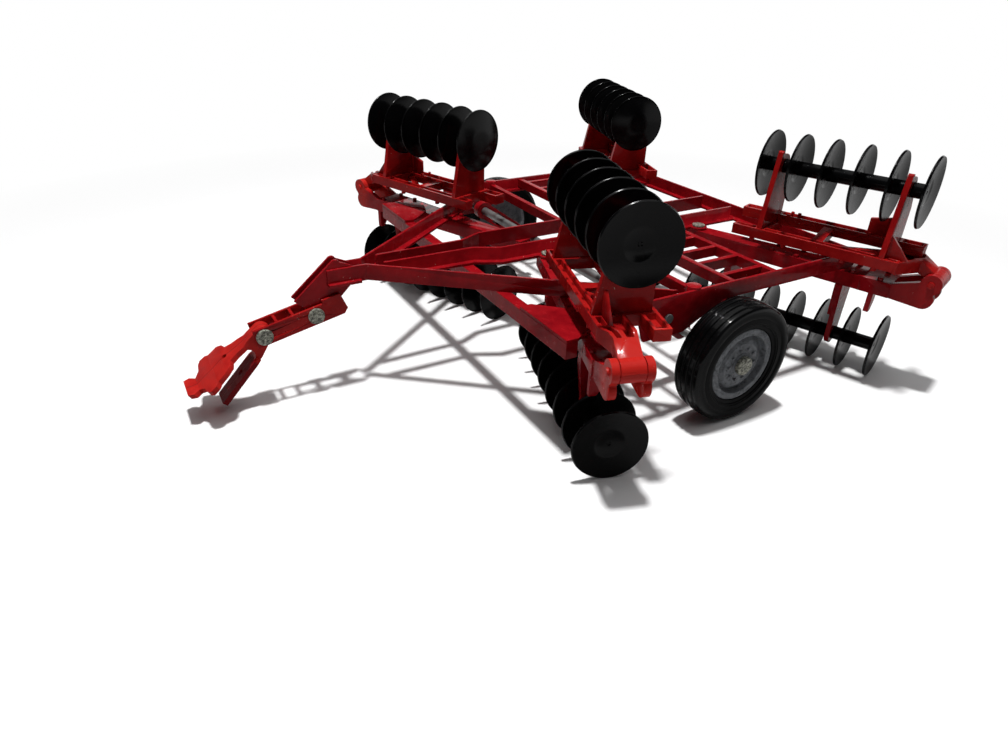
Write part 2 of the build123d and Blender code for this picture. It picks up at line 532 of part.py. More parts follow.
def lift_arm():
    """Lattice trailing arm between round bosses on the rock shaft and on the axle."""
    shaft, wheel = (SHAFT_Y, SHAFT_Z), (WHEEL_Y, WHEEL_R)
    length = math.hypot(wheel[0] - shaft[0], wheel[1] - shaft[1])
    x0, x1 = ARM_X - ARM_W / 2, ARM_X + ARM_W / 2
    half, wall = ARM_DEPTH / 2, LATTICE

    def plate(corners):
        return profile_x([along_line(shaft, wheel, s, n) for s, n in corners], x0, x1)

    arm = plate([(0, half), (length, half), (length, -half), (0, -half)])
    start, bay = ARM_BOSS_R, (length - 2 * ARM_BOSS_R) / LATTICE_BAYS
    for i in range(LATTICE_BAYS):
        a, b = start + i * bay + wall / 2, start + (i + 1) * bay - wall / 2
        h = half - wall
        window = plate([(a, h), (b, h), (b, -h), (a, -h)])
        window = window - plate([(a - wall, h), (a, h + wall), (b + wall, -h), (b, -h - wall)])
        window = window - plate([(a - wall, -h), (a, -h - wall), (b + wall, h), (b, h + wall)])
        arm = arm - window
    arm = arm + rod_x(x0, x1, *shaft, ARM_BOSS_R) + rod_x(x0, x1, *wheel, ARM_BOSS_R)
    for y, z, bore in ((*shaft, SHAFT_R + AXLE_FIT), (*wheel, AXLE_R)):
        arm = arm - rod_x(x0 - 1, x1 + 1, y, z, bore)
    return arm


nodes["lift_arm_left"] = lift_arm()
nodes["lift_arm_right"] = mirror_x(nodes["lift_arm_left"])
axle_end = WHEEL_X + AXLE_END
nodes["lift_cross_tube"] = rod_x(-axle_end, axle_end, WHEEL_Y, WHEEL_R, AXLE_R)

# ---------------------------------------------------------------- wheels
half_w = WHEEL_W / 2
bead = half_w - 1.2
tyre_half = [(RIM_R, bead), (WHEEL_R - 4.6, half_w), (WHEEL_R - 1.4, half_w - 1.2), (WHEEL_R, half_w - 3.6)]
tyre_section = make_face(Polyline(*tyre_half, *[(r, -a) for r, a in tyre_half[::-1]], close=True))
bore_r = AXLE_R + AXLE_FIT
rim_section = make_face(Polyline(
    (bore_r, 1.2 - half_w), (HUB_R, 1.2 - half_w), (HUB_R + 0.4, 5.2 - half_w), (RIM_R - 3.2, 4.6 - half_w),
    (RIM_R - 1.8, 1.4 - half_w), (RIM_R, 1.4 - half_w),
    (RIM_R, half_w - 1.4), (RIM_R - 1.9, half_w - 1.4), (RIM_R - 2.3, half_w - 3.4), (RIM_R - 3.4, half_w - 3.0),
    (RIM_R - 6.2, half_w - 4.8), (RIM_R - 6.6, half_w - 4.0), (HUB_R + 1.6, half_w - 4.0),
    (HUB_R + 1.0, half_w - 2.6), (bore_r, half_w - 2.6), close=True))
for name, section in (("tyre", tyre_section), ("rim", rim_section)):
    wheel = turned_x(section, WHEEL_X, WHEEL_Y, WHEEL_R)
    nodes[f"{name}_left"] = wheel
    nodes[f"{name}_right"] = mirror_x(wheel)

# ---------------------------------------------------------------- tongue link
link_length = math.hypot(LINK_FRONT[0] - LINK_REAR[0], LINK_FRONT[1] - LINK_REAR[1])


def on_link(s, n):
    """Point on the link's side: s from the rear rivet forwards, n upwards."""
    return along_line(LINK_REAR, LINK_FRONT, s, n)


link_half, (tail, tail_top, tail_low), (step_s, step) = LINK_DEPTH / 2, LINK_TAIL, LINK_STEP
link_bore = rod_x(-20, 20, *LINK_REAR, PIN_R) + rod_x(-20, 20, *LINK_FRONT, PIN_R)
link_side = profile_x([
    on_link(-tail_top, link_half + step), on_link(-step_s, link_half + step), on_link(-step_s, link_half),
    on_link(link_length + LINK_NOSE, link_half), on_link(link_length + LINK_NOSE, -link_half),
    on_link(-tail_low, -link_half), on_link(-tail, -link_half / 2),
], LINK_HALF - LINK_PLATE, LINK_HALF) - link_bore
link = link_side + mirror_x(link_side)
for s in LINK_WEBS:
    link = link + profile_x([on_link(s, link_half - 0.5), on_link(s + PLATE, link_half - 0.5),
                             on_link(s + PLATE, 0), on_link(s, 0)], LINK_PLATE - LINK_HALF, LINK_HALF - LINK_PLATE)
nodes["tongue_link"] = link
pins = None
for y, z in (LINK_REAR, LINK_FRONT):
    pin = rod_x(-LINK_HALF, LINK_HALF, y, z, PIN_R)
    for sign in (-1, 1):
        pin = pin + rod_x(sign * LINK_HALF, sign * (LINK_HALF + RIVET_HEAD), y, z, RIVET_R)
    pins = pin if pins is None else pins + pin
nodes["tongue_rivets"] = pins

# ---------------------------------------------------------------- hitch
hitch_length = math.hypot(TIP[0] - LINK_FRONT[0], TIP[1] - LINK_FRONT[1])
hy, hz = direction(LINK_FRONT, TIP)


def on_hitch(s, n):
    """Point on the hitch's side: s from the front rivet to the tip, n upwards."""
    return along_line(LINK_FRONT, TIP, s, n)


def side_face(edges):
    """Face in the middle plane from lines and arcs given in (s, n)."""
    pieces = []
    for kind, *points in edges:
        spots = [(0, *on_hitch(s, n)) for s, n in points]
        pieces += [ThreePointArc(*spots)] if kind == "arc" else list(Polyline(*spots).edges())
    return make_face(pieces)


def hitch():
    """Cast clevis: eye, arched root, broad upper jaw of stepped plan, plain slanting lower jaw."""
    eye, root_half = 3.9, LINK_HALF - LINK_PLATE - GAP
    (low_s, low_n), (end_s, end_n) = JAW_LOW
    upper = side_face([("line", *JAW_TOP, *((s, n - JAW_WALL) for s, n in JAW_TOP[::-1]), JAW_TOP[0])])
    plan = [(0, root_half), (5.5, root_half), *JAW_PLAN]
    frame = Plane(origin=(0, *LINK_FRONT), x_dir=(0, hy, hz), z_dir=(0, hz, -hy))
    outline = [(s, x) for s, x in plan] + [(s, -x) for s, x in plan[::-1]]
    blank = extrude(frame * make_face(Polyline(*outline, close=True)), amount=30, both=True)
    jaws = extrude(upper, amount=JAW_PLAN[-4][1] * 3, dir=(1, 0, 0), both=True) & blank
    arch_n = JAW_TOP[1][1] - JAW_WALL
    root = side_face([
        ("line", (0, eye), JAW_TOP[0], JAW_TOP[1], (JAW_ROOT + 1, arch_n)),
        ("arc", (JAW_ROOT + 1, arch_n), (JAW_ROOT - 2, (arch_n + low_n) / 2), (low_s, low_n)),
        ("line", (low_s, low_n), (low_s, low_n - JAW_WALL), (low_s - 4, low_n - JAW_WALL / 2), (-1.6, -3.4)),
        ("arc", (-1.6, -3.4), (-eye, 0), (0, eye)),
    ])
    lower = side_face([("line", (low_s - 3, low_n), (low_s, low_n), (end_s, end_n), (end_s - 0.7, end_n - JAW_WALL),
                        (low_s, low_n - JAW_WALL), (low_s - 3, low_n - JAW_WALL / 2), (low_s - 3, low_n))])
    jaws = jaws + extrude(root, amount=root_half, dir=(1, 0, 0), both=True)
    jaws = jaws + extrude(lower, amount=JAW_LOW_HALF, dir=(1, 0, 0), both=True)
    pin_axis = Pos(0, *on_hitch(HOLE_S, 0)) * Rot(-math.degrees(math.atan2(hz, -hy)), 0, 0)
    return jaws - rod_x(-20, 20, *LINK_FRONT, PIN_R + AXLE_FIT) - pin_axis * Cylinder(HOLE_R, 40)


nodes["hitch"] = hitch()

# ---------------------------------------------------------------- export
boxes = [shape.bounding_box() for shape in nodes.values()]
middle_y = (min(b.min.Y for b in boxes) + max(b.max.Y for b in boxes)) / 2

os.makedirs("parts", exist_ok=True)
for name, shape in nodes.items():
    moved = Pos(0, -middle_y, 0) * shape
    export_step(moved if isinstance(moved, Compound) else Compound([moved]), f"parts/{name}.step")
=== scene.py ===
"""A toy disc harrow standing on its wheels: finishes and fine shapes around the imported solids.

Metres, +Z up, the hitch along -Y and the machine's left along +X. The sections follow the
harrow as it is put together: the welded frame, gang beams and wings, disc gangs, lift and
wheels, tongue and hitch, and last the floor and the light.
"""
import json
import math

import bmesh
import bpy
import numpy as np
from mathutils import Matrix, Vector


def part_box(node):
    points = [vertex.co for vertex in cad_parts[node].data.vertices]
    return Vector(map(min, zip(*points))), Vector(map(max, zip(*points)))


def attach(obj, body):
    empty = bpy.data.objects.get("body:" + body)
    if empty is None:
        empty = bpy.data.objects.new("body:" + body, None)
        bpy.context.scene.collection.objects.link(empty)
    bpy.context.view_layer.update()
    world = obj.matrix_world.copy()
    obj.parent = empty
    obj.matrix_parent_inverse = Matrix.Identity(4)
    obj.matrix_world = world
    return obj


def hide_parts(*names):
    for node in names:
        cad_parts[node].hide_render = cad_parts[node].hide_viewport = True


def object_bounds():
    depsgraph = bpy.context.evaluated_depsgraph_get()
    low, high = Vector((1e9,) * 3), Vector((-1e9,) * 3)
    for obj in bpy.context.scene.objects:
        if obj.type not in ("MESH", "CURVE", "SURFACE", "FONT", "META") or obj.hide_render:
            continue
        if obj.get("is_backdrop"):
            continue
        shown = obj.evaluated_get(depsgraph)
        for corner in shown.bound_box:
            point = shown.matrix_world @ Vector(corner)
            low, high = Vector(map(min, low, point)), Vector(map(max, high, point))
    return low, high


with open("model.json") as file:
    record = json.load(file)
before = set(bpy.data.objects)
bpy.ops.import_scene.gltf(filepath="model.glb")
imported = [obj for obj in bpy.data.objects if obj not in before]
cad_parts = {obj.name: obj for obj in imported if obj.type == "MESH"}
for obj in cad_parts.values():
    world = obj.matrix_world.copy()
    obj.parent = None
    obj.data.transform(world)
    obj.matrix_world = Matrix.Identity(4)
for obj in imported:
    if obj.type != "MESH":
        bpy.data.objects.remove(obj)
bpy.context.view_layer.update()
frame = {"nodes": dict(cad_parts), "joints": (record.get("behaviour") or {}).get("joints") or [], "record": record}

# ---------------------------------------------------------------- view point
# A hand-held view from ahead and to the machine's left, a little above it, with a short
# lens close to the model, so that the near discs look much larger than the far ones.
VIEW_PLACE = (0.286473, -0.169519, 0.175126)
VIEW_AHEAD = Vector((-0.74013, 0.43345, -0.51414)).normalized()
VIEW_RIGHT = Vector((0.49320, 0.86961, 0.02316))
camera = bpy.data.objects.new("camera", bpy.data.cameras.new("camera"))
camera.data.sensor_width = 36
camera.data.lens = 24.689
camera.data.clip_start = 0.01
view_right = (VIEW_RIGHT - VIEW_AHEAD * VIEW_RIGHT.dot(VIEW_AHEAD)).normalized()
view_axes = Matrix((view_right, view_right.cross(VIEW_AHEAD), -VIEW_AHEAD)).transposed()
camera.matrix_world = Matrix.Translation(VIEW_PLACE) @ view_axes.to_4x4()
bpy.context.scene.collection.objects.link(camera)
bpy.context.scene.camera = camera

# ---------------------------------------------------------------- main frame
# The frame's rails, cross bars and ladders are zinc castings and pressed angles, riveted
# together and sprayed in one coat of glossy deep red. The paint is thin on the upper edges,
# where it catches the light, and the hinge ends have a brighter, more orange coat.
PAINT_DEEP = (0.17, 0.0020, 0.0050)
PAINT_FULL = (0.33, 0.0060, 0.0100)
PAINT_CHIP = (0.55, 0.36, 0.30)
PAINT_ENDS = (0.47, 0.0170, 0.0130)
ENDS_X, ENDS_Y, ENDS_REAR = (0.117, 0.124), (0.05, 0.10), 0.25
PAINT_ROUGH, CHIP_ROUGH = (0.16, 0.30), 0.2
# how far apart the clouds, chips and grains of the coat lie, and how deep they are
DRIFT_SIZE, CLOUD_SIZE, WEAR_SIZE, CHIP_SIZE, PAINT_GRAIN = 0.018, 0.004, 0.009, 0.0011, 0.0006
CHIP_FROM = (0.67, 0.69)
PAINT_DEPTH = 0.00006
EDGE_ROUND = 0.00022
SHARP_FROM = math.radians(35)


class Wire:
    """A shader socket; arithmetic on it adds Math nodes."""

    def __init__(self, tree, socket):
        self.tree, self.socket = tree, socket

    def math(self, operation, *values):
        """Math node of an operation on wires and numbers."""
        node = self.tree.nodes.new("ShaderNodeMath")
        node.operation = operation
        for slot, value in zip(node.inputs, values):
            if isinstance(value, Wire):
                self.tree.links.new(value.socket, slot)
            else:
                slot.default_value = value
        return Wire(self.tree, node.outputs[0])

    def __add__(self, other):
        return self.math("ADD", self, other)

    def __sub__(self, other):
        return self.math("SUBTRACT", self, other)

    def __rsub__(self, other):
        return self.math("SUBTRACT", other, self)

    def __mul__(self, other):
        return self.math("MULTIPLY", self, other)

    def __gt__(self, other):
        return self.math("GREATER_THAN", self, other)

    def __abs__(self):
        return self.math("ABSOLUTE", self)

    __radd__, __rmul__ = __add__, __mul__


class Nodes:
    """A node tree around its one shader, built up from one set of coordinates."""

    def __init__(self, tree, shader, coordinates):
        self.tree = tree
        self.shader = tree.nodes[shader]
        self.place = self.node("ShaderNodeTexCoord")[coordinates]

    def fill(self, slot, value):
        """Links a wire to a socket, or writes a number or a colour on it."""
        if isinstance(value, Wire):
            self.tree.links.new(value.socket, slot)
        else:
            slot.default_value = (*value, 1) if slot.type == "RGBA" else value

    def node(self, kind, settings=None, **sockets):
        """Adds a node: its settings, then values or links for sockets by name or identifier."""
        node = self.tree.nodes.new(kind)
        for key, value in (settings or {}).items():
            setattr(node, key, value)
        for key, value in sockets.items():
            self.fill(next(s for s in node.inputs
                           if s.enabled and key in (s.name.replace(" ", "_"), s.identifier)), value)
        return {s.name: Wire(self.tree, s) for s in node.outputs if s.enabled}

    def noise(self, size, detail=3.0, rough=0.5):
        """Noise whose features are about size metres across, from 0 to 1."""
        return self.node("ShaderNodeTexNoise", Vector=self.place, Scale=1.0 / size, Detail=detail,
                         Roughness=rough)["Fac"]

    def between(self, value, low, high, out_low=0.0, out_high=1.0):
        """Value carried from one range to another and clamped there."""
        return self.node("ShaderNodeMapRange", {"clamp": True}, Value=value, From_Min=low,
                         From_Max=high, To_Min=out_low, To_Max=out_high)["Result"]

    def blend(self, share, first, second):
        """Colour that goes from first to second with share."""
        return self.node("ShaderNodeMix", {"data_type": "RGBA"}, Factor=share,
                         A=first, B=second)["Result"]

    def set(self, **sockets):
        """Values or links for the shader's own sockets."""
        for key, value in sockets.items():
            self.fill(self.shader.inputs[key.replace("_", " ")], value)

    def axes(self):
        """The x, y and z of the coordinates."""
        parts = self.node("ShaderNodeSeparateXYZ", Vector=self.place)
        return parts["X"], parts["Y"], parts["Z"]

    def give_way(self, share, other):
        """Shows another shader instead of this one by share."""
        own = Wire(self.tree, self.shader.outputs[0])
        mix = self.node("ShaderNodeMixShader", Fac=share, Shader=own, Shader_001=other)["Shader"]
        output = next(node for node in self.tree.nodes if node.type.startswith("OUTPUT"))
        self.fill(output.inputs["Surface"], mix)


class Finish(Nodes):
    """A material on Object coordinates."""

    def __init__(self, name):
        self.material = bpy.data.materials.new(name)
        self.material.use_nodes = True
        super().__init__(self.material.node_tree, "Principled BSDF", "Object")

    def bump(self, height, depth):
        """Normal from a height from 0 to 1 that stands for depth metres."""
        return self.node("ShaderNodeBump", Height=height, Distance=depth, Strength=1.0)["Normal"]

    def set(self, **sockets):
        """Sets the shader's sockets and hands back the material."""
        super().set(**sockets)
        return self.material


def red_paint(name, deep, full):
    """Sprayed gloss: slow drift in depth, dust pits, and specks of bare metal on worn spots.

    The brighter coat of the hinge ends fades in over ENDS_X across the machine, and thins out
    to a share of ENDS_REAR over ENDS_Y towards the rear.
    """
    paint = Finish(name)
    drift = paint.between(paint.noise(DRIFT_SIZE), 0.35, 0.65)
    cloud = paint.between(paint.noise(CLOUD_SIZE, 4.0), 0.3, 0.7)
    grain = paint.noise(PAINT_GRAIN, 2.0)
    wear = paint.noise(CHIP_SIZE, 4.0, 0.6) * 0.7 + paint.noise(WEAR_SIZE) * 0.3
    chips = paint.between(wear, *CHIP_FROM)
    x, y, _ = paint.axes()
    ends = paint.between(abs(x), *ENDS_X) * paint.between(y, *ENDS_Y, 1.0, ENDS_REAR)
    colour = paint.blend(drift * 0.6 + cloud * 0.4, deep, full)
    colour = paint.blend(ends, colour, PAINT_ENDS)
    low, high = PAINT_ROUGH
    return paint.set(
        Base_Color=paint.blend(chips, colour, PAINT_CHIP),
        Roughness=low + (high - low) * cloud + CHIP_ROUGH * chips,
        Normal=paint.bump(grain * 0.35 + cloud * 0.65 - chips * 0.5, PAINT_DEPTH),
        Specular_IOR_Level=0.04, Coat_Weight=0.13, Coat_Roughness=0.05)


FRAME_RED = red_paint("frame_red", PAINT_DEEP, PAINT_FULL)
body_of_node = {node: body for body, nodes in frame["record"]["behaviour"]["bodies"].items()
                for node in nodes}


def smooth_shade(mesh, sharp_from):
    """Shades a mesh smooth, apart from the edges that turn by more than an angle."""
    mesh.polygons.foreach_set("use_smooth", np.ones(len(mesh.polygons), dtype=bool))
    mesh.set_sharp_from_angle(angle=sharp_from)


def placed(name, mesh):
    """Object of a mesh, at the origin, in the scene."""
    piece = bpy.data.objects.new(name, mesh)
    bpy.context.scene.collection.objects.link(piece)
    return piece


def rounded_copy(node, material, edge=EDGE_ROUND, steps=2):
    """Copy of a solid's mesh, merged and with its edges rounded over by edge metres."""
    shape = bmesh.new()
    shape.from_mesh(frame["nodes"][node].data)
    bmesh.ops.remove_doubles(shape, verts=shape.verts, dist=1e-6)
    mesh = bpy.data.meshes.new(f"{node}_finish")
    shape.to_mesh(mesh)
    shape.free()
    mesh.materials.clear()
    mesh.materials.append(material)
    mesh.polygons.foreach_set("material_index", np.zeros(len(mesh.polygons), dtype=np.int32))
    smooth_shade(mesh, SHARP_FROM)
    piece = placed(f"{node}_finish", mesh)
    bevel = piece.modifiers.new("edge", "BEVEL")
    bevel.width, bevel.segments, bevel.limit_method = edge, steps, "ANGLE"
    bevel.angle_limit, bevel.use_clamp_overlap = SHARP_FROM, True
    bevel.miter_outer, bevel.harden_normals = "MITER_ARC", True
    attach(piece, body_of_node[node])
    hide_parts(node)


for part in ("diagonal", "centre_rail", "side_rail", "ladder"):
    for side in ("left", "right"):
        rounded_copy(f"{part}_{side}", FRAME_RED)
for part in ("front_cross_bar", "front_gussets", "rear_cross_bar", "nose_plates"):
    rounded_copy(part, FRAME_RED)

# ---------------------------------------------------------------- beam rivets
# Plain steel rivets hold the gang beams under the rails. Their flat heads are cropped,
# mottled and dull, with dark specks where the plating has gone.
STEEL_PALE = (0.46, 0.46, 0.38)
STEEL_DARK = (0.075, 0.075, 0.060)
SPECK_SIZE, SCUFF_SIZE, STEEL_DEPTH = 0.0011, 0.0005, 0.00012
PIN_ROUND = 0.00025


def mottled_steel():
    """Dull plating with dark specks and a few brighter scuffs."""
    steel = Finish("mottled_steel")
    speck = steel.between(steel.noise(SPECK_SIZE, 5.0, 0.65), 0.44, 0.62)
    scuff = steel.between(steel.noise(SCUFF_SIZE, 2.0), 0.45, 0.7)
    return steel.set(
        Base_Color=steel.blend(speck, STEEL_DARK, STEEL_PALE),
        Metallic=0.25 + 0.45 * speck, Roughness=0.55 - 0.2 * scuff,
        Normal=steel.bump(speck * 0.7 + scuff * 0.3, STEEL_DEPTH))


STEEL = mottled_steel()
rounded_copy("beam_rivets", STEEL, edge=PIN_ROUND)

# ---------------------------------------------------------------- gang beams and hangers
# Tapered channels under the main frame carry the lower gangs on bored plates. They end in
# the cast ears of the wing hinge, and are painted with the frame.
TAGS = tuple(f"{end}_{side}" for end in ("front", "rear") for side in ("left", "right"))
for tag in TAGS:
    rounded_copy(f"gang_beam_{tag}", FRAME_RED)
    rounded_copy(f"gang_hangers_{tag}", FRAME_RED)

# ---------------------------------------------------------------- wings
# Each folding wing is one casting with two plates that hold its gang, on a pin sprayed over
# with it. Its coat has a little more orange in it than the frame's.
WING_DEEP = (0.22, 0.0035, 0.0050)
WING_FULL = (0.38, 0.0100, 0.0090)
WING_RED = red_paint("wing_red", WING_DEEP, WING_FULL)
for tag in TAGS:
    rounded_copy(f"hinge_pin_{tag}", WING_RED, edge=PIN_ROUND)
    rounded_copy(f"wing_frame_{tag}", WING_RED)
    rounded_copy(f"wing_hangers_{tag}", WING_RED)

# ---------------------------------------------------------------- bolt heads
# Small six-sided heads are moulded along the tops of the beams and under the wing bars,
# two beside each plate that carries a gang.
BOLT_R, BOLT_H = 0.0013, 0.0014
STUD_R, STUD_H = 0.0009, 0.0009
HEAD_SINK, HEAD_CHAMFER = 0.0004, 0.0002
HEAD_SHARP_FROM, HEX = math.radians(20), 6
BEAM_OVER_PLATES, BAR_UNDER_TOP = 0.007, 0.0049
BEAM_TOP_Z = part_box("gang_hangers_front_left")[1][2] + BEAM_OVER_PLATES
WING_LOW_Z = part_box("wing_frame_front_left")[1][2] - BAR_UNDER_TOP
# distance out from the hinge pin or the wing's gang, and distance across the beam or bar
BEAM_BOLTS = ((-0.075, -0.0046), (-0.075, 0.0046), (-0.062, -0.0051), (-0.062, 0.0051),
              (-0.034, -0.0062), (-0.034, 0.0062), (-0.021, -0.0067), (-0.021, 0.0067))
WING_BOLTS = ((-0.068, 0.0124), (-0.052, 0.0124), (-0.024, 0.0124), (-0.010, 0.0124))
WING_STUDS = ((-0.059, -0.0122), (-0.0555, -0.0122), (-0.020, -0.0122), (-0.059, -0.0064),
              (-0.020, -0.0064))
joints = {joint["name"]: joint for joint in frame["joints"]}


def surface(name, grids, material, sharp_from=SHARP_FROM):
    """Mesh of quads between the rows and columns of point grids; each column ring is closed."""
    points, faces, first = [], [], 0
    for grid in grids:
        rows, cols = grid.shape[:2]
        row, col = np.meshgrid(np.arange(rows - 1), np.arange(cols), indexing="ij")
        after = (col + 1) % cols
        quads = np.stack([row * cols + col, row * cols + after, (row + 1) * cols + after,
                          (row + 1) * cols + col], axis=-1).reshape(-1, 4)
        points.append(grid.reshape(-1, 3))
        faces.append(quads + first)
        first += rows * cols
    shape = bmesh.new()
    mesh = bpy.data.meshes.new(name)
    mesh.from_pydata(np.concatenate(points).tolist(), [], np.concatenate(faces).tolist())
    shape.from_mesh(mesh)
    bmesh.ops.remove_doubles(shape, verts=shape.verts, dist=2e-7)
    bmesh.ops.dissolve_degenerate(shape, edges=shape.edges, dist=1e-7)
    bmesh.ops.recalc_face_normals(shape, faces=shape.faces)
    shape.to_mesh(mesh)
    shape.free()
    mesh.materials.append(material)
    smooth_shade(mesh, sharp_from)
    return placed(name, mesh)


def turned(profile, centre, axis, count):
    """Profile of (radius, distance along the axis) carried round the axis in count steps.

    A point at radius r and distance a is centre + a * axis + r * (cos t * e + sin t * f),
    where e and f are square to the axis and t goes once round.
    """
    axis = np.asarray(axis, float) / np.linalg.norm(axis)
    helper = (0.0, 0.0, 1.0) if abs(axis[2]) < 0.9 else (1.0, 0.0, 0.0)
    e = np.cross(axis, helper)
    e /= np.linalg.norm(e)
    f = np.cross(axis, e)
    t = np.arange(count) * (2 * math.pi / count)
    ring = np.cos(t)[:, None] * e + np.sin(t)[:, None] * f
    r, a = np.asarray(profile, float).T
    return np.asarray(centre) + a[:, None, None] * axis + r[:, None, None] * ring


def gang_axes(tag):
    """Hinge pin of a gang and the directions out along its beam and towards mid machine."""
    fold = joints[f"wing_{tag}_fold"]
    out = np.array(joints[f"gang_{tag}_spin"]["axis"], float)
    out /= np.linalg.norm(out)
    inward = np.array((-out[1], out[0], 0.0))
    if inward[1] * (1 if "rear" in tag else -1) > 0:
        inward = -inward
    return np.array(fold["pos_m"], float), out, inward


def head(spot, up, radius, height):
    """Six-sided head with a small chamfer, standing on a spot and pointing up or down."""
    profile = [(0, -HEAD_SINK), (radius, -HEAD_SINK), (radius, height - HEAD_CHAMFER),
               (radius - HEAD_CHAMFER, height), (0, height)]
    return turned(profile, spot, (0, 0, up), HEX)


for tag in TAGS:
    pin, out, inward = gang_axes(tag)
    ahead = inward if "rear" in tag else -inward
    heads = [head((*(pin + u * out + w * inward)[:2], BEAM_TOP_Z), 1, BOLT_R, BOLT_H)
             for u, w in BEAM_BOLTS]
    piece = surface(f"beam_bolts_{tag}", heads, FRAME_RED, HEAD_SHARP_FROM)
    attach(piece, "frame")
    line = np.array(joints[f"wing_gang_{tag}_spin"]["pos_m"], float)
    wing_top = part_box(f"wing_frame_{tag}")[1][2]
    heads = [head((*(line + u * out + v * ahead)[:2], WING_LOW_Z), -1, BOLT_R, BOLT_H)
             for u, v in WING_BOLTS]
    heads += [head((*(line + u * out + v * ahead)[:2], wing_top), 1, STUD_R, STUD_H)
              for u, v in WING_STUDS]
    piece = surface(f"wing_bolts_{tag}", heads, WING_RED, HEAD_SHARP_FROM)
    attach(piece, f"wing_{tag}")

# ---------------------------------------------------------------- disc gangs
# Each gang is one black plastic moulding: dished blades on a thick spool, with a thin
# rounded rim, a faint ring round the flat middle of each blade and a moulding dimple.
BLADE_BLACK = (0.0010, 0.0010, 0.0012)
BLADE_WORN = (0.0040, 0.0040, 0.0043)
FLOW_SIZE, DUST_SIZE, BLADE_DEPTH = 0.012, 0.0009, 0.00005
PITCH = 0.0143
DISH, WALL, RIM_WALL = 0.0020, 0.0011, 0.0007
FLAT_R, SPOOL_R = 0.0057, 0.0033
FILLET, SPOOL_CHAMFER = 0.0004, 0.0003
STEP_R, STEP_H = 0.0002, 0.00012
DIMPLE = ((0.0010, STEP_H), (0.0006, 0.0005), (0.0, 0.0005))    # radius and depth
BLADE_STEPS = 96
GANGS = (("disc_gang", "gang", 8), ("wing_gang", "wing_gang", 6))    # node, body, blades


def moulded_black():
    """Satin black plastic with fine flow marks and a little dust."""
    black = Finish("moulded_black")
    flow = black.noise(FLOW_SIZE, 4.0)
    dust = black.between(black.noise(DUST_SIZE, 5.0, 0.7), 0.6, 0.75)
    worn = black.between(flow, 0.3, 0.7) * 0.5 + dust * 0.35
    return black.set(
        Base_Color=black.blend(worn, BLADE_BLACK, BLADE_WORN),
        Roughness=0.14 + 0.12 * flow + 0.15 * dust, Specular_IOR_Level=0.12,
        Normal=black.bump(flow * 0.6 + dust * 0.4, BLADE_DEPTH))


def blade_profile(rim_a, radius, steps=9):
    """One blade from the spool out over its back, round its rim and back to the flat middle.

    The dish is a circle's arc: its height is dish * (r^2 - flat^2) / (R^2 - flat^2).
    """
    r = np.linspace(FLAT_R, radius - RIM_WALL / 2, steps)
    rise = DISH * (r ** 2 - FLAT_R ** 2) / (radius ** 2 - FLAT_R ** 2)
    wall = WALL + (RIM_WALL - WALL) * (r - FLAT_R) / (radius - FLAT_R)
    middle = rim_a - DISH + rise + (WALL - wall) / 2
    turn = np.linspace(-math.pi / 2, math.pi / 2, 7)[1:-1]
    rim = np.stack([radius - RIM_WALL / 2 + RIM_WALL / 2 * np.cos(turn),
                    rim_a + RIM_WALL / 2 * np.sin(turn)], axis=1)
    back = np.stack([r, middle], axis=1)
    front = np.stack([r, middle + wall], axis=1)[::-1]
    base = rim_a - DISH
    root = [(SPOOL_R, base - FILLET), (SPOOL_R + 0.3 * FILLET, base - 0.3 * FILLET),
            (SPOOL_R + FILLET, base)]
    crown = [(FLAT_R - STEP_R, base + WALL - STEP_H)]
    return np.concatenate([root, back, rim, front, crown])


BLACK = moulded_black()
for kind, body, count in GANGS:
    for tag in TAGS:
        node = f"{kind}_{tag}"
        spin = joints[f"{body}_{tag}_spin"]
        low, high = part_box(node)
        radius = (high[2] - low[2]) / 2
        first = -(count - 1) * PITCH
        stretches = [np.array([(0.0, first - DISH), (SPOOL_R - SPOOL_CHAMFER, first - DISH)])]
        for i in range(count):
            blade = blade_profile(first + i * PITCH, radius)
            if i == 0:
                blade = blade[2:]
            stretches.append(blade)
            if i < count - 1:
                seat = first + i * PITCH - DISH + WALL
                stretches.append(np.array([(SPOOL_R + FILLET, seat), (SPOOL_R, seat + FILLET)]))
        stretches.append(np.array([(r, -DISH + WALL - depth) for r, depth in DIMPLE]))
        gang = turned(np.concatenate(stretches), spin["pos_m"], spin["axis"], BLADE_STEPS)
        piece = surface(f"{node}_finish", [gang], BLACK)
        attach(piece, spin["child"])
        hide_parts(node)

# ---------------------------------------------------------------- lift
# Two lattice arms trail from a steel rock shaft through the side rails, and one steel axle
# passes through both arms and carries the wheels.
ROD_DARK = (0.20, 0.20, 0.20)
ROD_PALE = (0.42, 0.42, 0.41)
ROD_MARKS = (60.0, 2500.0, 2500.0)    # features to the metre along and across the rod
STAIN_SIZE, ROD_DEPTH, ROD_ROUND = 0.01, 0.00003, 0.0003
for side in ("left", "right"):
    rounded_copy(f"lift_arm_{side}", FRAME_RED)


def drawn_steel():
    """Grey drawn rod with fine marks along its length, which lies along X."""
    rod = Finish("drawn_steel")
    along = rod.node("ShaderNodeMapping", Vector=rod.place, Scale=ROD_MARKS)["Vector"]
    marks = rod.node("ShaderNodeTexNoise", Vector=along, Scale=1.0, Detail=3.0)["Fac"]
    stain = rod.between(rod.noise(STAIN_SIZE, 4.0), 0.35, 0.7)
    return rod.set(
        Base_Color=rod.blend(stain, ROD_DARK, ROD_PALE),
        Metallic=0.8, Roughness=0.32 + 0.2 * marks, Normal=rod.bump(marks, ROD_DEPTH))


ROD = drawn_steel()
for part in ("lift_shaft", "lift_cross_tube"):
    rounded_copy(part, ROD, edge=ROD_ROUND)

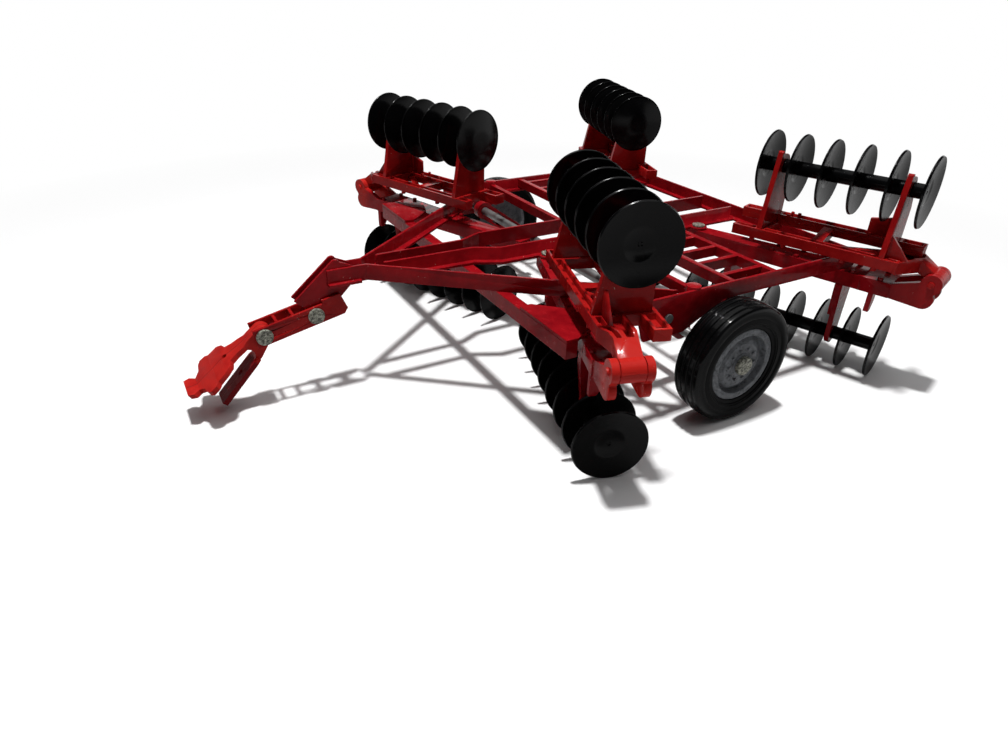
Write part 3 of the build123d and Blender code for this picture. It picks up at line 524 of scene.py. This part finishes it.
# ---------------------------------------------------------------- tyres
# Each tyre is a ring of glossy black vinyl pushed over its rim. Grooves run round the tread
# and leave plain ribs between them, and the sidewall steps down to the rim.
RUBBER_BLACK = (0.0008, 0.0008, 0.0009)
RUBBER_WORN = (0.0030, 0.0030, 0.0033)
PATCH_SIZE, RUBBER_GRAIN, RUBBER_DEPTH = 0.009, 0.0007, 0.00005
TREAD_EDGE = (0.004, 0.002)    # the polish sets in between these depths under the tread
TYRE_STEPS, TREAD_POINTS = 160, 145
TREAD_CROWN = 0.0010
GROOVE_PLACES = (0.0016, 0.0046)
GROOVE_WIDTH, GROOVE_DEPTH = 0.00045, 0.0007
SHOULDER = (0.0034, 0.0018)
# distance under the tread, or over the bead, and distance in from the widest part
SIDEWALL_STEP = ((0.0052, 0.0001), (0.0056, 0.0004))
SIDEWALL_BEAD = ((0.0030, 0.0002), (0.0027, 0.0005), (0.0022, 0.0005), (0.0018, 0.0010),
                 (0.0004, 0.0012), (0.0, 0.0018))


def soft_rubber(centre, tread_r):
    """Vinyl with faint flow marks, dull on the sidewalls and polished by use on the tread."""
    rubber = Finish("tyre_rubber")
    patch = rubber.between(rubber.noise(PATCH_SIZE, 4.0), 0.3, 0.7)
    grain = rubber.noise(RUBBER_GRAIN, 3.0)
    _, y, z = rubber.axes()
    back, up = y - float(centre[1]), z - float(centre[2])
    inner, outer = ((tread_r - depth) ** 2 for depth in TREAD_EDGE)
    tread = rubber.between(back * back + up * up, inner, outer)
    return rubber.set(
        Base_Color=rubber.blend(patch, RUBBER_BLACK, RUBBER_WORN),
        Roughness=0.38 - 0.16 * tread + 0.1 * patch, Specular_IOR_Level=0.05,
        Coat_Weight=tread * 0.22, Coat_Roughness=0.07,
        Normal=rubber.bump(patch * 0.5 + grain * 0.5, RUBBER_DEPTH))


def tyre_profile(radius, half, bead_r):
    """Closed loop of (radius, distance out) points, starting at the inboard bead.

    The tread sinks towards its edges by a share of the distance out squared, and each groove
    takes a bell from it, the exponential of minus the fourth power of the distance from it.
    """
    round_r, round_a = SHOULDER
    across = np.linspace(round_a - half, half - round_a, TREAD_POINTS)
    bells = sum(np.exp(-((np.abs(across) - place) / GROOVE_WIDTH) ** 4) for place in GROOVE_PLACES)
    crown = radius - TREAD_CROWN * (across / half) ** 2 - GROOVE_DEPTH * bells
    turn = np.linspace(0, math.pi / 2, 9)[1:]
    shoulder = np.stack([crown[-1] - round_r + round_r * np.cos(turn),
                         half - round_a + round_a * np.sin(turn)], axis=1)
    wall = [(radius - under, half - inset) for under, inset in SIDEWALL_STEP]
    bead = [(bead_r + over, half - inset) for over, inset in SIDEWALL_BEAD]
    flank = np.concatenate([shoulder, wall, bead])
    inboard = flank[::-1] * (1, -1)
    return np.concatenate([inboard, np.stack([crown, across], axis=1), flank, inboard[:1]])


low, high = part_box("tyre_left")
RUBBER = soft_rubber(joints["wheel_left_spin"]["pos_m"], (high[2] - low[2]) / 2)
SIDES = {"left": (1.0, 0.0, 0.0), "right": (-1.0, 0.0, 0.0)}
for side, out in SIDES.items():
    low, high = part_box(f"tyre_{side}")
    rim_low, rim_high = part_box(f"rim_{side}")
    profile = tyre_profile((high[2] - low[2]) / 2, (high[0] - low[0]) / 2,
                           (rim_high[2] - rim_low[2]) / 2)
    tyre = turned(profile, joints[f"wheel_{side}_spin"]["pos_m"], out, TYRE_STEPS)
    piece = surface(f"tyre_{side}_finish", [tyre], RUBBER)
    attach(piece, f"wheel_{side}")
    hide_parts(f"tyre_{side}")

# ---------------------------------------------------------------- rims
# Each rim is a grey plastic moulding that turns on the axle. A flat ring meets the tyre, a
# deep groove parts it from the bulged middle, and a ring of worn nuts stands round the hub.
# The end of the axle is swaged over into a broad dull head.
RIM_DARK = (0.115, 0.121, 0.131)
RIM_PALE = (0.215, 0.224, 0.240)
RIM_PITS = (0.050, 0.055, 0.060)
MOTTLE_SIZE, PIT_SIZE, RIM_DEPTH = 0.0045, 0.0013, 0.0004
RIM_STEPS, CAP_STEPS = 120, 40
# radius and distance out from the middle of the wheel
RIM_OUTSIDE = ((0.0170, 0.0060), (0.0168, 0.0062), (0.0142, 0.0063), (0.0139, 0.0061),
               (0.0137, 0.0036), (0.0133, 0.0032), (0.0127, 0.0034), (0.0117, 0.0043),
               (0.0103, 0.0049), (0.0098, 0.0052), (0.0094, 0.0051), (0.0084, 0.0054),
               (0.0062, 0.0055), (0.0056, 0.0054), (0.0053, 0.0059), (0.0046, 0.0060),
               (0.00248, 0.0060))
RIM_INSIDE = ((0.00248, -0.0064), (0.0044, -0.0064), (0.0048, -0.0024), (0.0138, -0.0030),
              (0.0152, -0.0062), (0.0170, -0.0062))
CAP = ((0.0, 0.0050), (0.0023, 0.0050), (0.0023, 0.00605), (0.0041, 0.00605), (0.0043, 0.0063),
       (0.0043, 0.0076), (0.0041, 0.0080), (0.0036, 0.0083), (0.0024, 0.0084), (0.0018, 0.0083),
       (0.0, 0.0082))
NUT_COUNT, NUT_RING, NUT_SEAT = 10, 0.0074, 0.0057
NUT_R, NUT_H, NUT_SINK, NUT_CHAMFER = 0.0007, 0.0006, 0.0003, 0.0001
NUT = ((0.0, -NUT_SINK), (NUT_R, -NUT_SINK), (NUT_R, NUT_H - NUT_CHAMFER),
       (NUT_R - NUT_CHAMFER, NUT_H), (0.0, NUT_H))


def grey_rim():
    """Grey plastic, mottled, with small lumps and holes where the mould was rough."""
    rim = Finish("rim_grey")
    cloud = rim.between(rim.noise(MOTTLE_SIZE, 4.0, 0.6), 0.3, 0.7)
    pits = rim.between(rim.noise(PIT_SIZE, 4.0, 0.65), 0.50, 0.64)
    colour = rim.blend(cloud, RIM_DARK, RIM_PALE)
    return rim.set(
        Base_Color=rim.blend(pits * 0.55, colour, RIM_PITS),
        Specular_IOR_Level=0.2, Roughness=0.30 + 0.2 * cloud,
        Normal=rim.bump(cloud * 0.4 + (1 - pits) * 0.6, RIM_DEPTH))


GREY = grey_rim()
for side, out in SIDES.items():
    centre = np.array(joints[f"wheel_{side}_spin"]["pos_m"], float)
    grids = [turned(np.array(RIM_OUTSIDE + RIM_INSIDE + RIM_OUTSIDE[:1]), centre, out, RIM_STEPS)]
    face = centre + np.array(out) * NUT_SEAT
    for i in range(NUT_COUNT):
        angle = 2 * math.pi * i / NUT_COUNT
        spot = face + NUT_RING * np.array((0.0, math.cos(angle), math.sin(angle)))
        grids.append(turned(NUT, spot, out, HEX))
    piece = surface(f"rim_{side}_finish", grids, GREY)
    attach(piece, f"wheel_{side}")
    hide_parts(f"rim_{side}")
    cap = surface(f"axle_cap_{side}", [turned(CAP, centre, out, CAP_STEPS)], STEEL)
    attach(cap, "lift")

# ---------------------------------------------------------------- tongue link
# Two side plates joined by webs make the link, sprayed with the wings. It hangs on two plain
# steel rivets that turn in the nose plates and in the hitch, with the same mottled heads as
# the beams'.
HEAD_H, SHANK_R, HEAD_EDGE = 0.0009, 0.00142, 0.0002
RIVET_STEPS = 48
rounded_copy("tongue_link", WING_RED)
reach, _, rivet_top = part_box("tongue_rivets")[1]
head_r = rivet_top - joints["tongue_pivot"]["pos_m"][2]
half_rivet = [(SHANK_R, reach - HEAD_H), (head_r, reach - HEAD_H), (head_r, reach - HEAD_EDGE),
              (head_r - HEAD_EDGE, reach), (0.0, reach)]
rivet = [(r, -a) for r, a in half_rivet[::-1]] + half_rivet
rivets = [turned(rivet, joints[name]["pos_m"], (1, 0, 0), RIVET_STEPS)
          for name in ("tongue_pivot", "hitch_pivot")]
piece = surface("tongue_rivets_finish", rivets, STEEL)
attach(piece, "tongue")
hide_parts("tongue_rivets")

# ---------------------------------------------------------------- hitch
# The hitch is a soft orange-red plastic moulding of two jaws for the tractor's drawbar, with
# the line of its two mould halves down the middle.
HITCH_DEEP = (0.36, 0.0105, 0.0090)
HITCH_FULL = (0.49, 0.0185, 0.0135)
# painted shade: the darker colour laid on the lower jaw, where the upper jaw shades it
HITCH_JAW_SHADE = (0.16, 0.0020, 0.0040)
HITCH_SEAM = (0.14, 0.004, 0.004)
HITCH_LINE = (-0.8667, -0.4988)    # y and z of the way from the front rivet to the tip
JAW_UNDER, JAW_AHEAD = (-0.0062, -0.0052), (0.009, 0.011)
SEAM_HALF = (0.00012, 0.0003)
SHADE_SIZE, HITCH_GRAIN, HITCH_DEPTH = 0.006, 0.0008, 0.00015
HITCH_ROUND = 0.0004


def hitch_plastic():
    """Orange-red plastic with painted shade on the lower jaw, and a sunk line where the mould halves met.

    The painted shade covers the lower jaw, which is what lies under a line from the front rivet
    to the tip, moved down by JAW_UNDER, and further than JAW_AHEAD ahead of the rivet.
    """
    plastic = Finish("hitch_plastic")
    x, y, z = plastic.axes()
    _, rivet_y, rivet_z = map(float, joints["hitch_pivot"]["pos_m"])
    back, up = y - rivet_y, z - rivet_z
    ahead = back * HITCH_LINE[0] + up * HITCH_LINE[1]
    above = back * HITCH_LINE[1] - up * HITCH_LINE[0]
    # painted shade: a mask over the lower jaw, where the upper jaw shades it
    jaw_shade = plastic.between(above, *JAW_UNDER, 1.0, 0.0) * plastic.between(ahead, *JAW_AHEAD)
    seam = plastic.between(abs(x), *SEAM_HALF, 1.0, 0.0)
    cloud = plastic.between(plastic.noise(SHADE_SIZE, 3.0), 0.3, 0.7)
    grain = plastic.noise(HITCH_GRAIN, 3.0)
    colour = plastic.blend(jaw_shade, plastic.blend(cloud, HITCH_DEEP, HITCH_FULL), HITCH_JAW_SHADE)
    return plastic.set(
        Base_Color=plastic.blend(seam * 0.75, colour, HITCH_SEAM),
        Specular_IOR_Level=0.08, Roughness=0.36 + 0.12 * cloud,
        Normal=plastic.bump(grain * 0.3 + (1 - seam) * 0.7, HITCH_DEPTH))


rounded_copy("hitch", hitch_plastic(), edge=HITCH_ROUND, steps=3)

# ---------------------------------------------------------------- floor and light
# A plain white floor that fades into a white surround, one small lamp right overhead that
# draws the shadows, and a wide soft one round it.
FLOOR_HALF = 4.0
FLOOR_DULL, FLOOR_WHITE, FLOOR_BOUNCE = 0.915, 0.93, 0.52
KEY_PLACE, KEY_SIZE, KEY_POWER = (0.02, -0.05, 1.1), 0.07, 12.5
SOFT_PLACE, SOFT_SIZE, SOFT_POWER = (0.0, 0.25, 1.2), 1.6, 6.0
SKY_COLOUR, SKY_STRENGTH = (0.96, 0.98, 1.0), 0.05
PURE_WHITE = (1.0, 1.0, 1.0)
# distances from the middle over which the floor turns pure white, to the eye and in gloss,
# and how high and how far back the surround is white in gloss
SEEN_FADE, MIRRORED_FADE = (0.26, 0.50), (0.55, 0.80)
BACKDROP_TOP, BACKDROP_FROM = (0.22, 0.28), 0.2
TONE_SIZE = 0.25

floor = Finish("floor_white")
tone = floor.between(floor.noise(TONE_SIZE, 3.0), 0.3, 0.7)
white = floor.blend(tone, (FLOOR_DULL,) * 3, (FLOOR_WHITE,) * 3)
rays = floor.node("ShaderNodeLightPath")
floor.set(Base_Color=floor.blend(rays["Is Camera Ray"], (FLOOR_BOUNCE,) * 3, white), Roughness=0.75)
distance = floor.node("ShaderNodeVectorMath", {"operation": "LENGTH"}, Vector=floor.place)["Value"]
glow = floor.node("ShaderNodeEmission", Color=PURE_WHITE, Strength=1.0)["Emission"]
seen = floor.between(distance, *SEEN_FADE) * rays["Is Camera Ray"]
floor.give_way(seen + floor.between(distance, *MIRRORED_FADE) * rays["Is Glossy Ray"], glow)
floor_mesh = bpy.data.meshes.new("floor")
floor_mesh.from_pydata([(-FLOOR_HALF, -FLOOR_HALF, 0), (FLOOR_HALF, -FLOOR_HALF, 0),
                        (FLOOR_HALF, FLOOR_HALF, 0), (-FLOOR_HALF, FLOOR_HALF, 0)],
                       [], [(0, 1, 2, 3)])
floor_mesh.materials.append(floor.material)
ground = placed("floor", floor_mesh)
ground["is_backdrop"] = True


def soft_lamp(name, place, size, power):
    """Square lamp above the harrow, facing straight down."""
    lamp = bpy.data.objects.new(name, bpy.data.lights.new(name, "AREA"))
    lamp.data.size, lamp.data.energy = size, power
    lamp.location = place
    bpy.context.scene.collection.objects.link(lamp)


soft_lamp("overhead_key", KEY_PLACE, KEY_SIZE, KEY_POWER)
soft_lamp("overhead_soft", SOFT_PLACE, SOFT_SIZE, SOFT_POWER)

world = bpy.data.worlds.new("surroundings")
bpy.context.scene.world = world
world.use_nodes = True
sky = Nodes(world.node_tree, "Background", "Generated")
sky.set(Color=SKY_COLOUR, Strength=SKY_STRENGTH)
_, back, up = sky.axes()
backdrop = sky.between(up, *BACKDROP_TOP, 1.0, 0.0) * (back > BACKDROP_FROM)
rays = sky.node("ShaderNodeLightPath")
sky.give_way(rays["Is Camera Ray"] + rays["Is Glossy Ray"] * backdrop,
             sky.node("ShaderNodeBackground", Color=PURE_WHITE, Strength=1.0)["Background"])
bpy.context.scene.view_settings.view_transform = "Standard"

low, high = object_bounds()
